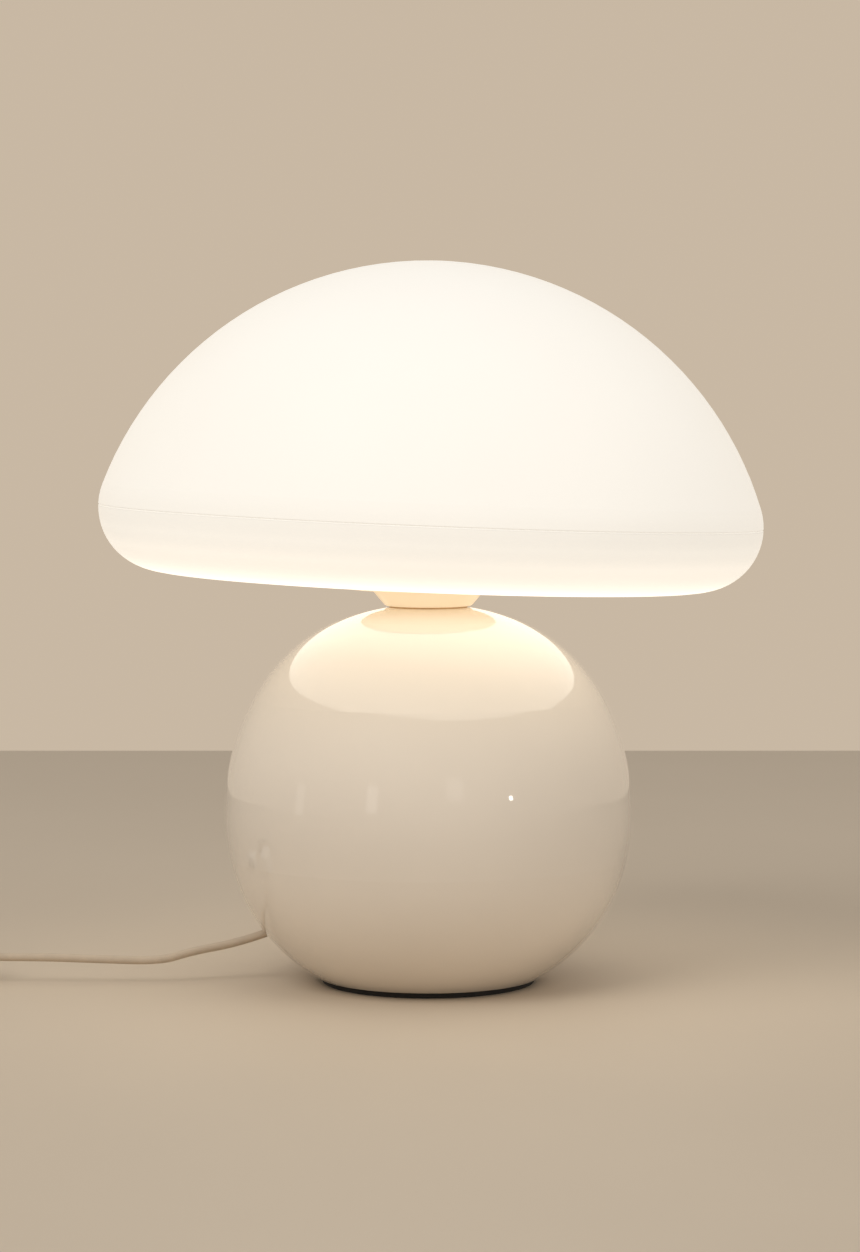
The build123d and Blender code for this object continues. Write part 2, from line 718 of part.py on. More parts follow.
with BuildPart() as bulb_board:
    board_base = mouth_z - bulb_board_thickness - bulb_board_gap
    with BuildSketch(Plane.XY.offset(board_base)):
        Circle(mouth_radius - bulb_housing_wall - fit_gap)
    extrude(amount=bulb_board_thickness)
bulb_board.part.label = "bulb_board"
export_step(bulb_board.part, "parts/bulb_board.step")

with BuildPart() as bulb_chips:
    with BuildSketch(Plane.XY.offset(board_base + bulb_board_thickness)):
        with PolarLocations(bulb_chip_circle / 2, bulb_chip_count):
            Rectangle(bulb_chip_size, bulb_chip_size)
    extrude(amount=bulb_chip_height)
bulb_chips.part.label = "bulb_chips"
export_step(bulb_chips.part, "parts/bulb_chips.step")

with BuildPart() as bulb_globe:
    with BuildSketch(upright(globe_centre_z)):
        with Locations((0, 0)):
            Circle(bulb_radius)
            Circle(bulb_radius - bulb_globe_wall, mode=Mode.SUBTRACT)
        with Locations((0, mouth_z - globe_centre_z)):
            Rectangle(bulb_radius, bulb_diameter, align=LOW_LEFT, mode=Mode.INTERSECT)
    revolve(axis=Axis.Z)
bulb_globe.part.label = "bulb_globe"
export_step(bulb_globe.part, "parts/bulb_globe.step")

# ---------------------------------------------------------------- cord exit
with BuildSketch() as bush_skin:
    add(ball_section(bush_flush_inset, foot_thickness, ball_top))
with BuildSketch() as bush_room:
    add(ball_section(ball_wall + fit_gap, ball_floor_top, ball_top))

bush_back = cord_exit_plane.offset(-bush_flange_depth)
with BuildPart() as bush_flange:
    with BuildSketch(bush_back):
        Circle(bush_flange_diameter / 2)
    extrude(amount=2 * bush_flange_depth)
    with BuildSketch(upright(0)):
        add(bush_room.sketch)
    revolve(axis=Axis.Z, mode=Mode.INTERSECT)

with BuildPart() as cord_bush:
    with BuildSketch(bush_back):
        Circle(bush_diameter / 2)
    extrude(amount=2 * bush_flange_depth)
    with BuildSketch(upright(0)):
        add(bush_skin.sketch)
    revolve(axis=Axis.Z, mode=Mode.INTERSECT)
    add(bush_flange.part)
    with BuildSketch(bush_back):
        Circle(cord_diameter / 2 + bush_bore_gap)
    extrude(amount=2 * bush_flange_depth, mode=Mode.SUBTRACT)
cord_bush.part.label = "cord_bush"
export_step(cord_bush.part, "parts/cord_bush.step")

# ---------------------------------------------------------------- cords: shared geometry
cord_radius = cord_diameter / 2
cord_start = cord_exit - cord_out * cord_exit_depth


def route_radii(points):
    """A radius for each corner of a route: 0.45 of the shorter run over the tangent of half the turn."""
    radii = []
    for before, corner, after in zip(points, points[1:], points[2:]):
        arrive = Vector(*corner) - Vector(*before)
        leave = Vector(*after) - Vector(*corner)
        half_turn = radians(arrive.get_angle(leave)) / 2
        radii.append(0.45 * min(arrive.length, leave.length) / tan(half_turn))
    return radii


def report_tube(name, piece, section_area, length, radii):
    """Print a tube's bend radii, and how its volume compares with its section times its length."""
    ratio = piece.volume / (section_area * length)
    bends = ", ".join(f"{radius:.0f}" for radius in radii)
    print(f"{name}: {length:.0f} mm long, bend radii {bends} mm")
    print(f"{name}: volume over section times length {ratio:.4f}")


# ---------------------------------------------------------------- lead inside the base
lead_rise = cord_start - cord_out * lead_inside_length  # it runs on up from the bush
lead_top_z = tube_top + holder_tube_end
lead_points = [tuple(cord_start), tuple(lead_rise), (0, 0, lead_window_height), (0, 0, lead_top_z)]
lead_radii = [lead_rise_radius, lead_window_radius]

with BuildPart() as inner_lead:
    with BuildLine():
        route = FilletPolyline(*lead_points, radius=lead_radii)
    with BuildSketch(Plane(origin=route @ 0, z_dir=route % 0)):
        Circle(cord_radius)
    sweep()
inner_lead.part.label = "inner_lead"
export_step(inner_lead.part, "parts/inner_lead.step")
report_tube("inner_lead", inner_lead.part, pi * cord_radius**2, route.length, lead_radii)

stop_plane = cord_exit_plane.offset(-stop_tie_depth)
with BuildPart() as lead_stop_tie:
    with BuildSketch(stop_plane):
        Circle(cord_radius + stop_tie_thickness)
        with Locations((0, cord_radius + stop_tie_thickness)):
            Rectangle(stop_tie_head, stop_tie_head)
        Circle(cord_radius + fit_gap, mode=Mode.SUBTRACT)
    extrude(amount=-stop_tie_width)
lead_stop_tie.part.label = "lead_stop_tie"
export_step(lead_stop_tie.part, "parts/lead_stop_tie.step")

core_top = insert_base - terminal_head_height
with BuildPart() as core_wires:
    for side in (-1, 1):
        core_points = [
            (side * core_spacing / 2, 0, lead_top_z),
            (side * core_spacing / 2, 0, lead_top_z + core_bend_run),
            (side * terminal_spacing / 2, 0, core_top - core_bend_run),
            (side * terminal_spacing / 2, 0, core_top),
        ]
        with BuildLine():
            route = FilletPolyline(*core_points, radius=core_bend_radius)
        with BuildSketch(Plane(origin=route @ 0, z_dir=route % 0)):
            Circle(core_diameter / 2)
        sweep(path=route)
core_wires.part.label = "core_wires"
export_step(core_wires.part, "parts/core_wires.step")

# ---------------------------------------------------------------- free cord from the base to the switch
switch_near_x = switch_x + switch_length / 2
switch_far_x = switch_x - switch_length / 2
entry_height = switch_half_height
lead_in_points = [
    tuple(cord_start),
    tuple(cord_exit + cord_out * cord_straight),
    (-108.0, -5.6, 14.2),
    (-120.8, -8.2, 10.3),
    (-146.0, -8.8, 11.0),
    (-178.0, cord_line_y, entry_height),
    (switch_near_x - cord_inside_fitting, cord_line_y, entry_height),
]
with BuildPart() as cord_lead:
    radii = route_radii(lead_in_points)
    with BuildLine():
        route = FilletPolyline(*lead_in_points, radius=radii)
    with BuildSketch(Plane(origin=route @ 0, z_dir=route % 0)):
        Circle(cord_radius)
    sweep()
cord_lead.part.label = "cord_lead"
export_step(cord_lead.part, "parts/cord_lead.step")
report_tube("cord_lead", cord_lead.part, pi * cord_radius**2, route.length, radii)

# ---------------------------------------------------------------- in-line switch
switch_top = 2 * switch_half_height
pivot_height = switch_top - rocker_pivot_below_top
window_half_width = rocker_width / 2 + rocker_side_gap
switch_floor_plane = Plane(origin=(switch_x, cord_line_y, 0))
switch_pivot = (switch_x, cord_line_y, pivot_height)
boss_places = [(-boss_offset_x, boss_offset_y), (boss_offset_x, -boss_offset_y)]
entry_plane = Plane(origin=(switch_x, cord_line_y, entry_height), x_dir=(0, 1, 0), z_dir=(1, 0, 0))


def switch_outline(inset):
    """Plan of the switch: a bar that narrows to the cord at both ends, moved inwards by inset."""
    half_length = switch_length / 2 - inset
    half_width = switch_width / 2 - inset
    half_end = switch_end_width / 2 - inset
    shoulder = switch_length / 2 - switch_shoulder
    quarter = [(half_length, half_end), (shoulder, half_width)]
    corners = quarter + [(-x, y) for x, y in reversed(quarter)]
    corners += [(-x, -y) for x, y in corners]
    with BuildSketch() as plan:
        with BuildLine():
            FilletPolyline(*corners, radius=switch_corner_round - inset, close=True)
        make_face()
    return plan.sketch


with BuildPart() as switch_lower:
    with BuildSketch(switch_floor_plane):
        add(switch_outline(0))
    extrude(amount=switch_half_height)
    fillet(switch_lower.edges().group_by(Axis.Z)[0], radius=switch_edge_round)
    with BuildSketch(switch_floor_plane.offset(switch_floor)):
        add(switch_outline(switch_wall))
    extrude(amount=switch_half_height, mode=Mode.SUBTRACT)
    with BuildSketch(switch_floor_plane):
        with Locations(*boss_places):
            Circle(boss_diameter / 2)
    extrude(amount=switch_half_height)
    with BuildSketch(switch_floor_plane):
        with Locations(*boss_places):
            Circle(switch_screw_diameter / 2 + fit_gap)
    extrude(amount=switch_half_height, mode=Mode.SUBTRACT)
    with BuildSketch(switch_floor_plane):
        with Locations(*boss_places):
            Circle(switch_screw_head / 2 + fit_gap)
    extrude(amount=2 * switch_screw_head_height, mode=Mode.SUBTRACT)
    with BuildSketch(entry_plane):
        Circle(cord_radius + bush_bore_gap)
    extrude(amount=switch_length, both=True, mode=Mode.SUBTRACT)
switch_lower.part.label = "switch_lower"
export_step(switch_lower.part, "parts/switch_lower.step")

with BuildPart() as switch_upper:
    with BuildSketch(switch_floor_plane.offset(switch_half_height)):
        add(switch_outline(0))
    extrude(amount=switch_half_height)
    fillet(switch_upper.edges().group_by(Axis.Z)[-1], radius=switch_edge_round)
    with BuildSketch(switch_floor_plane.offset(switch_half_height)):
        add(switch_outline(switch_wall))
    extrude(amount=switch_half_height - switch_floor, mode=Mode.SUBTRACT)
    with BuildSketch(switch_floor_plane.offset(switch_half_height)):
        with Locations(*boss_places):
            Circle(boss_diameter / 2)
    extrude(amount=switch_half_height - switch_floor)
    cheek_offset = window_half_width + cheek_thickness / 2
    with BuildSketch(switch_floor_plane.offset(switch_top - switch_floor)):
        with Locations((0, cheek_offset), (0, -cheek_offset)):
            Rectangle(cheek_length, cheek_thickness)
    extrude(amount=-cheek_depth)
    with BuildSketch(switch_floor_plane.offset(switch_half_height)):
        Rectangle(rocker_length + 2 * rocker_window_gap, 2 * window_half_width)
    extrude(amount=switch_half_height, mode=Mode.SUBTRACT)
    with BuildSketch(switch_floor_plane.offset(switch_half_height)):
        with Locations(*boss_places):
            Circle(switch_screw_diameter / 2 + fit_gap)
    screw_bite = switch_screw_length + 2 * switch_screw_head_height - switch_half_height
    extrude(amount=screw_bite, mode=Mode.SUBTRACT)
    with BuildSketch(entry_plane):
        Circle(cord_radius + bush_bore_gap)
    extrude(amount=switch_length, both=True, mode=Mode.SUBTRACT)
    with BuildSketch(Plane(origin=switch_pivot, x_dir=(1, 0, 0), z_dir=(0, -1, 0))):
        Circle(rocker_pin_diameter / 2 + fit_gap)
    extrude(amount=window_half_width + cheek_thickness, both=True, mode=Mode.SUBTRACT)
switch_upper.part.label = "switch_upper"
export_step(switch_upper.part, "parts/switch_upper.step")

with BuildPart() as switch_screws:
    head_seat = 2 * switch_screw_head_height
    with BuildSketch(switch_floor_plane.offset(head_seat)):
        with Locations(*boss_places):
            Circle(switch_screw_diameter / 2)
    extrude(amount=switch_screw_length - fit_gap)
    with BuildSketch(switch_floor_plane.offset(head_seat)):
        with Locations(*boss_places):
            Circle(switch_screw_head / 2)
    extrude(amount=-switch_screw_head_height)
switch_screws.part.label = "switch_screws"
export_step(switch_screws.part, "parts/switch_screws.step")

with BuildPart() as rocker_pin:
    with BuildSketch(Plane(origin=switch_pivot, x_dir=(1, 0, 0), z_dir=(0, -1, 0))):
        Circle(rocker_pin_diameter / 2)
    extrude(amount=window_half_width + cheek_thickness, both=True)
rocker_pin.part.label = "rocker_pin"
export_step(rocker_pin.part, "parts/rocker_pin.step")

# The rocker rests in its on position, pressed down at the lamp's end.
lean = radians(rocker_tilt)
rocker_plane = Plane(origin=switch_pivot, x_dir=(cos(lean), 0, -sin(lean)), z_dir=(0, -1, 0))
with BuildPart() as rocker:
    half_rocker = rocker_length / 2
    with BuildSketch(rocker_plane):
        with BuildLine():
            crown = ThreePointArc(
                (-half_rocker, rocker_end_rise), (0, rocker_centre_rise), (half_rocker, rocker_end_rise)
            )
            Polyline(
                crown @ 1,
                (half_rocker, 0),
                (stem_width / 2, -rocker_depth),
                (stem_width / 2, -rocker_depth - stem_length),
                (-stem_width / 2, -rocker_depth - stem_length),
                (-stem_width / 2, -rocker_depth),
                (-half_rocker, 0),
                crown @ 0,
            )
        make_face()
    extrude(amount=rocker_width / 2, both=True)
    top_edges = rocker.faces().sort_by(Axis.Z)[-1].edges()
    fillet(top_edges, radius=rocker_edge_round)
    with BuildSketch(rocker_plane):
        Circle(rocker_pin_diameter / 2 + fit_gap)
    extrude(amount=rocker_width, both=True, mode=Mode.SUBTRACT)
rocker.part.label = "rocker"
export_step(rocker.part, "parts/rocker.step")

seesaw_drop = rocker_depth + stem_length
with BuildPart() as contact_seesaw:
    with BuildSketch(rocker_plane):
        with Locations((0, -seesaw_drop - seesaw_thickness / 2)):
            Rectangle(seesaw_length, seesaw_thickness)
    extrude(amount=seesaw_width / 2, both=True)
contact_seesaw.part.label = "contact_seesaw"
export_step(contact_seesaw.part, "parts/contact_seesaw.step")

# The seesaw strip stands over the common contact in the middle and closes on the one at the lamp's end.
seesaw_underside = pivot_height - (seesaw_drop + seesaw_thickness) * cos(lean)
with BuildPart() as switch_contacts:
    for offset in (0, contact_spacing):
        with BuildSketch(switch_floor_plane.offset(switch_floor)):
            with Locations((offset, 0)):
                Rectangle(contact_size, contact_size)
        extrude(amount=contact_block_height)
        contact_top = seesaw_underside - offset * sin(lean) - loose_gap
        with BuildSketch(switch_floor_plane.offset(switch_floor)):
            with Locations((offset, 0)):
                Rectangle(contact_post_thickness, seesaw_width)
        extrude(amount=contact_top - switch_floor)
switch_contacts.part.label = "switch_contacts"
export_step(switch_contacts.part, "parts/switch_contacts.step")

core_level = switch_floor + contact_block_height / 2
sheath_near = switch_near_x - cord_inside_fitting
sheath_far = switch_far_x + cord_inside_fitting
near_face = switch_x + contact_spacing + contact_size / 2
far_face = switch_x - contact_size / 2
live_y = cord_line_y - core_spacing / 2
neutral_y = cord_line_y + core_spacing / 2
core_routes = [
    [
        (sheath_near, live_y, entry_height),
        (sheath_near - core_dip_run / 2, live_y, entry_height),
        (near_face + core_dip_run / 2, live_y, core_level),
        (near_face, live_y, core_level),
    ],
    [
        (sheath_far, live_y, entry_height),
        (sheath_far + core_dip_run / 2, live_y, entry_height),
        (far_face - core_dip_run, live_y, core_level),
        (far_face, live_y, core_level),
    ],
    [
        (sheath_near, neutral_y, entry_height),
        (sheath_near - core_dip_run, neutral_y, entry_height),
        (sheath_near - 2 * core_dip_run, cord_line_y + core_sweep_y, core_level),
        (sheath_far + 2 * core_dip_run, cord_line_y + core_sweep_y, core_level),
        (sheath_far + core_dip_run, neutral_y, entry_height),
        (sheath_far, neutral_y, entry_height),
    ],
]
with BuildPart() as switch_cores:
    for core_points in core_routes:
        with BuildLine():
            route = FilletPolyline(*core_points, radius=core_bend_radius)
        with BuildSketch(Plane(origin=route @ 0, z_dir=route % 0)):
            Circle(core_diameter / 2)
        sweep(path=route)
switch_cores.part.label = "switch_cores"
export_step(switch_cores.part, "parts/switch_cores.step")

clamp_offset = switch_length / 2 - switch_wall - clamp_inset
with BuildPart() as cord_clamps:
    with BuildSketch(switch_floor_plane.offset(switch_floor)):
        with Locations((-clamp_offset, 0), (clamp_offset, 0)):
            Rectangle(clamp_length, clamp_width)
    extrude(amount=entry_height - switch_floor + clamp_rise)
    with BuildSketch(entry_plane):
        Circle(cord_radius + fit_gap)
    extrude(amount=switch_length, both=True, mode=Mode.SUBTRACT)
cord_clamps.part.label = "cord_clamps"
export_step(cord_clamps.part, "parts/cord_clamps.step")

# ---------------------------------------------------------------- put-away coil
# The coil starts in line with the switch, runs clockwise seen from above, and lies on its tie.
coil_outer_radius = coil_mean_radius + coil_pitch
coil_floor = tie_thickness + tie_gap + cord_radius
coil_y = cord_line_y + coil_outer_radius


def coil_turns():
    """The coil's half turns, as start and end across the coil, start height and end height."""
    across, radius, height = coil_outer_radius, coil_outer_radius, coil_floor
    turns, inwards, side = [], True, 1
    step = coil_pitch / 2
    for layer in range(coil_layers):
        for _ in range(coil_half_turns_per_layer):
            turns.append((across, across - side * 2 * radius, height, height))
            across -= side * 2 * radius
            side = -side
            radius += -step if inwards else step
        if layer < coil_layers - 1:
            turns.append((across, across - side * 2 * radius, height, height + coil_pitch))
            across -= side * 2 * radius
            side = -side
            height += coil_pitch
            inwards = not inwards
            radius += -step if inwards else step
    return turns


def coil_point(across, along, height):
    """A point of the coil in the lamp's axes."""
    return Vector(coil_x - along, coil_y - across, height)


coil_path = []  # start, joint and end of each half turn, with the start's and the joint's direction
for turn, (start_across, end_across, start_height, end_height) in enumerate(coil_turns()):
    heading = Vector(-1, 0, 0) if turn % 2 == 0 else Vector(1, 0, 0)
    start = coil_point(start_across, 0, start_height)
    end = coil_point(end_across, 0, end_height)
    reach = (end - start).length / 2
    near, far = start + heading * reach, end + heading * reach
    coil_path.append((start, (near + far) / 2, end, heading, far - near))

coil_first = coil_path[0][0]
coil_last = coil_path[-1][2]
coil_lead_in = coil_first + Vector(cord_diameter, 0, 0)
coil_lead_out = coil_last + Vector(cord_diameter, 0, 0)

with BuildPart() as cord_coil:
    with BuildLine() as coil_line:
        Line(coil_lead_in, coil_first)
        for start, joint, end, heading, joint_heading in coil_path:
            TangentArc(start, joint, tangent=heading)
            TangentArc(joint, end, tangent=joint_heading)
        Line(coil_last, coil_lead_out)
    with BuildSketch(Plane(origin=coil_lead_in, x_dir=(0, 0, 1), z_dir=(-1, 0, 0))):
        RegularPolygon(cord_radius, coil_sides, rotation=180 / coil_sides)
    sweep()
cord_coil.part.label = "cord_coil"
export_step(cord_coil.part, "parts/cord_coil.step")

coil_wire = coil_line.wire()
coil_length = coil_wire.length
coil_section_area = coil_sides / 2 * cord_radius**2 * sin(2 * pi / coil_sides)
report_tube("cord_coil", cord_coil.part, coil_section_area, coil_length, [])

# Least gap of the coil to itself, measured on points at even spacing along its middle line.
sample_count = 700
samples = [coil_wire @ (index / sample_count) for index in range(sample_count + 1)]
neighbours = int(sample_count * pi * (coil_mean_radius - coil_outer_radius / 2) / coil_length)
least = min(
    (samples[i] - samples[j]).length
    for i in range(sample_count + 1)
    for j in range(i + neighbours, sample_count + 1)
)
print(f"cord_coil: {len(coil_path) / 2} loops, least gap to itself {least - cord_diameter:.2f} mm")

with BuildPart() as coil_tie:
    # The tie goes round the turns at the side away from the lamp, where they lie in straight columns.
    bundle_height = (coil_layers - 1) * coil_pitch + cord_diameter + 2 * tie_gap
    bundle_outside = coil_outer_radius + cord_radius + loose_gap
    columns = (coil_half_turns_per_layer + 1) // 2
    bundle_inside = coil_outer_radius - (columns - 1) * coil_pitch - cord_radius - tie_inner_room
    middle = (bundle_outside + bundle_inside) / 2
    tie_plane = Plane(
        origin=(coil_x - middle, coil_y + coil_pitch / 2, tie_thickness + bundle_height / 2),
        x_dir=(1, 0, 0),
        z_dir=(0, -1, 0),
    )
    with BuildSketch(tie_plane):
        room = bundle_outside - bundle_inside
        strap = 2 * tie_thickness
        RectangleRounded(room + strap, bundle_height + strap, tie_corner_round + tie_thickness)
        RectangleRounded(room, bundle_height, tie_corner_round, mode=Mode.SUBTRACT)
    extrude(amount=tie_width / 2, both=True)
coil_tie.part.label = "coil_tie"
export_step(coil_tie.part, "parts/coil_tie.step")

# ---------------------------------------------------------------- free cord from the switch to the coil
tail_points = [
    (switch_far_x + cord_inside_fitting, cord_line_y, entry_height),
    (-277.0, cord_line_y, entry_height),
    (-295.0, -9.2, 5.2),
    (-312.0, cord_line_y, coil_floor),
    tuple(coil_lead_in),
]
with BuildPart() as cord_tail:
    radii = route_radii(tail_points)
    with BuildLine():
        route = FilletPolyline(*tail_points, radius=radii)
    with BuildSketch(Plane(origin=route @ 0, z_dir=route % 0)):
        Circle(cord_radius)
    sweep()
cord_tail.part.label = "cord_tail"
export_step(cord_tail.part, "parts/cord_tail.step")
report_tube("cord_tail", cord_tail.part, pi * cord_radius**2, route.length, radii)

# ---------------------------------------------------------------- free cord from the coil to the plug
plug_y = coil_last.Y + 0.8
plug_height = plug_thickness / 2
plug_along = Vector(cos(radians(plug_turn)), sin(radians(plug_turn)), 0)
plug_across = Vector(-sin(radians(plug_turn)), cos(radians(plug_turn)), 0)


def plug_point(along, height):
    """A point on the plug's middle line, at a distance from its cord entry and a height."""
    return Vector(plug_x, plug_y, height) + plug_along * along


end_points = [
    tuple(coil_lead_out),
    (-314.0, coil_last.Y, coil_last.Z),
    tuple(plug_point(-plug_lead_run, plug_height)),
    tuple(plug_point(0, plug_height)),
]
with BuildPart() as cord_end:
    radii = route_radii(end_points)
    with BuildLine():
        route = FilletPolyline(*end_points, radius=radii)
    with BuildSketch(Plane(origin=route @ 0, z_dir=route % 0)):
        Circle(cord_radius)
    sweep()
cord_end.part.label = "cord_end"
export_step(cord_end.part, "parts/cord_end.step")
report_tube("cord_end", cord_end.part, pi * cord_radius**2, route.length, radii)

# ---------------------------------------------------------------- plug
plug_face = plug_point(plug_relief_length + plug_body_length, plug_height)
plug_line = Axis(plug_point(0, plug_height), plug_along)
with BuildPart() as plug_body:
    with BuildSketch(Plane(origin=plug_point(plug_relief_length, 0), x_dir=plug_along)):
        with BuildLine():
            half_face, half_neck = plug_body_width / 2, plug_neck_width / 2
            FilletPolyline(
                (plug_body_length, half_face),
                (plug_body_length - plug_shoulder, half_face),
                (0, half_neck),
                (0, -half_neck),
                (plug_body_length - plug_shoulder, -half_face),
                (plug_body_length, -half_face),
                radius=[0, plug_corner_round, plug_corner_round, plug_corner_round, plug_corner_round, 0],
                close=True,
            )
        make_face()
    extrude(amount=plug_thickness)
    flat_faces = plug_body.faces().filter_by(Axis.Z)
    flat_edges = flat_faces.edges()
    long_edges = [edge for edge in flat_edges if (edge.center() - plug_face).dot(plug_along) < -fit_gap]
    fillet(long_edges, radius=plug_edge_round)
    with BuildSketch(Plane(origin=plug_point(0, plug_height), x_dir=plug_along)):
        with BuildLine():
            Polyline(
                (0, 0),
                (0, plug_relief_tip_diameter / 2),
                (plug_relief_length, plug_relief_diameter / 2),
                (plug_relief_length + plug_edge_round, plug_relief_diameter / 2),
                (plug_relief_length + plug_edge_round, 0),
                close=True,
            )
        make_face()
        groove_step = plug_relief_length / (plug_groove_count + 1)
        for groove in range(plug_groove_count):
            along = (groove + 1) * groove_step
            skin = plug_relief_tip_diameter / 2 + (
                (plug_relief_diameter - plug_relief_tip_diameter) / 2 * along / plug_relief_length
            )
            with Locations((along - plug_groove_width / 2, skin - plug_groove_depth)):
                Rectangle(plug_groove_width, plug_relief_diameter, align=LOW_LEFT, mode=Mode.SUBTRACT)
    revolve(axis=plug_line)
plug_body.part.label = "plug_body"
export_step(plug_body.part, "parts/plug_body.step")

pin_places = [(plug_pin_spacing / 2, 0), (-plug_pin_spacing / 2, 0)]
pin_plane = Plane(origin=plug_face, x_dir=plug_across, z_dir=plug_along)
with BuildPart() as plug_pins:
    with BuildSketch(pin_plane):
        with Locations(*pin_places):
            Circle(plug_core_diameter / 2)
    extrude(amount=plug_sleeve_length)
    with BuildSketch(pin_plane.offset(plug_sleeve_length)):
        with Locations(*pin_places):
            Circle(plug_pin_diameter / 2)
    extrude(amount=plug_pin_length - plug_sleeve_length)
    tips = plug_pins.edges().group_by(plug_line)[-1]
    fillet(tips, radius=plug_pin_diameter / 4)
plug_pins.part.label = "plug_pins"
export_step(plug_pins.part, "parts/plug_pins.step")

with BuildPart() as plug_sleeves:
    with BuildSketch(pin_plane):
        with Locations(*pin_places):
            Circle(plug_sleeve_diameter / 2)
            Circle(plug_core_diameter / 2 + fit_gap, mode=Mode.SUBTRACT)
    extrude(amount=plug_sleeve_length)
plug_sleeves.part.label = "plug_sleeves"
export_step(plug_sleeves.part, "parts/plug_sleeves.step")
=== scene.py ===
import math

import bpy
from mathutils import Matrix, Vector


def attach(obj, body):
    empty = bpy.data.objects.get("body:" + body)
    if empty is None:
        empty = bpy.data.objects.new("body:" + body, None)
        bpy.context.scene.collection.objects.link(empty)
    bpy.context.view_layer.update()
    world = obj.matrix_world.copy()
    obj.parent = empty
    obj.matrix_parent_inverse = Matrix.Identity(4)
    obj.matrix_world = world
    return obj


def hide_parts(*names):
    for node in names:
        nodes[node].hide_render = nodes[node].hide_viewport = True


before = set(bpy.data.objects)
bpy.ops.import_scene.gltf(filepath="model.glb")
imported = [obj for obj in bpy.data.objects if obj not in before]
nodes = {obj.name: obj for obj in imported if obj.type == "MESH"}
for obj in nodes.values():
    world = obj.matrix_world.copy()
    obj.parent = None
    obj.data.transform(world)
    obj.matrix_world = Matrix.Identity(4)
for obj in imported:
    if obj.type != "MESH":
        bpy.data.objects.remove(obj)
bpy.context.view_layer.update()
scene = bpy.context.scene

# ------------------------------------------------------------------ camera
# Fitted to the photograph: 1.48 m in front of the lamp, 0.25 m up, looking 3.5 degrees down.
CAMERA_PLACE = (0.0007, -1.4841, 0.2540)
CAMERA_PITCH = math.radians(86.455)  # 90 degrees would be level
LENS = 94.24  # in millimetres, as the sensor's width is
SENSOR_WIDTH = 36.0
NEAREST_SEEN = 0.05
FARTHEST_SEEN = 60.0

camera_data = bpy.data.cameras.new("camera")
camera_data.lens = LENS
camera_data.sensor_width = SENSOR_WIDTH
camera_data.clip_start = NEAREST_SEEN
camera_data.clip_end = FARTHEST_SEEN
camera = bpy.data.objects.new("camera", camera_data)
camera.location = CAMERA_PLACE
camera.rotation_euler = (CAMERA_PITCH, 0.0, 0.0)
scene.collection.objects.link(camera)
scene.camera = camera

# ------------------------------------------------------------------ cords, on the routes of their CAD solids
CORD_DIAMETER = 0.0038
CORD_EXIT = (-0.070945, 0.0, 0.022926)  # where the cord leaves the base
CORD_Y = -0.008  # the line on which the switch lies
SWITCH_Z = 0.0121  # the cord's height at both ends of the switch
SWITCH_EXIT = (-0.258, CORD_Y, SWITCH_Z)


def cord_curve(name, points):
    """A round cord on one smooth line through its route's points."""
    data = bpy.data.curves.new(name, "CURVE")
    data.dimensions = "3D"
    line = data.splines.new("NURBS")
    line.points.add(len(points) - 1)
    for point, place in zip(line.points, points):
        point.co = (*place, 1.0)
        point.radius = CORD_DIAMETER / 2
    line.order_u = 3
    line.use_endpoint_u = True
    line.resolution_u = 12
    data.bevel_depth = 1.0  # times each point's radius
    data.bevel_resolution = 5
    data.use_fill_caps = True
    piece = bpy.data.objects.new(name, data)
    scene.collection.objects.link(piece)
    return piece


lead = cord_curve(
    "cord_to_switch",
    [
        CORD_EXIT,
        (-0.08645, 0.0, 0.017283),
        (-0.108, -0.0056, 0.0142),
        (-0.1208, -0.0082, 0.0103),
        (-0.146, -0.0088, 0.0110),
        (-0.178, CORD_Y, SWITCH_Z),
        (-0.212, CORD_Y, SWITCH_Z),
    ],
)

# The put-away length lies in one coil, wound in half turns that spiral in and out again.
PITCH = 0.0043  # from each turn to the next, aside and up
LAYERS = 4
HALF_TURNS = 5  # in each layer, before the one that climbs to the next layer
STEPS = 8  # points in each half turn
COIL_RADIUS = 0.022 + PITCH  # of the first half turn
COIL_X = -0.331
COIL_Y = CORD_Y + COIL_RADIUS
COIL_FLOOR = 0.00305
COIL_TOP = COIL_FLOOR + (LAYERS - 1) * PITCH
PLUG_Z = 0.00685  # the cord's height at the plug
END_Y = 0.0489  # where the cord's end leaves the coil


def coil_points():
    """Points round the coil: each layer's half turns, and one that climbs between two layers."""
    places = []
    across, radius, height = COIL_RADIUS, COIL_RADIUS, COIL_FLOOR
    side, inwards = 1, True
    for layer in range(LAYERS):
        last_layer = layer == LAYERS - 1
        for turn in range(HALF_TURNS if last_layer else HALF_TURNS + 1):
            climbs = turn == HALF_TURNS
            climb = PITCH if climbs else 0.0
            middle = across - side * radius
            reach = radius / math.cos(math.pi / STEPS / 2)
            for step in range(STEPS):
                share = (step + 0.5) / STEPS
                angle = math.pi * share
                x = COIL_X - side * reach * math.sin(angle)
                y = COIL_Y - (middle + side * reach * math.cos(angle))
                places.append((x, y, height + climb * share))
            across -= side * 2 * radius
            side = -side
            if climbs:
                height += PITCH
                inwards = not inwards
            radius += -PITCH / 2 if inwards else PITCH / 2
    return places


rest = cord_curve(
    "cord_to_plug",
    [
        SWITCH_EXIT,
        (-0.277, CORD_Y, SWITCH_Z),
        (-0.295, -0.0092, 0.0052),
        (-0.312, CORD_Y, COIL_FLOOR),
        (-0.3272, CORD_Y, COIL_FLOOR),
        *coil_points(),
        (-0.3272, END_Y, COIL_TOP),
        (-0.314, END_Y, COIL_TOP),
        (-0.298787, 0.047269, PLUG_Z),
        (-0.285, 0.0497, PLUG_Z),
    ],
)

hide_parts("cord_lead")
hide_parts("cord_tail", "cord_coil", "cord_end")
for cord in (lead, rest):
    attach(cord, "base")

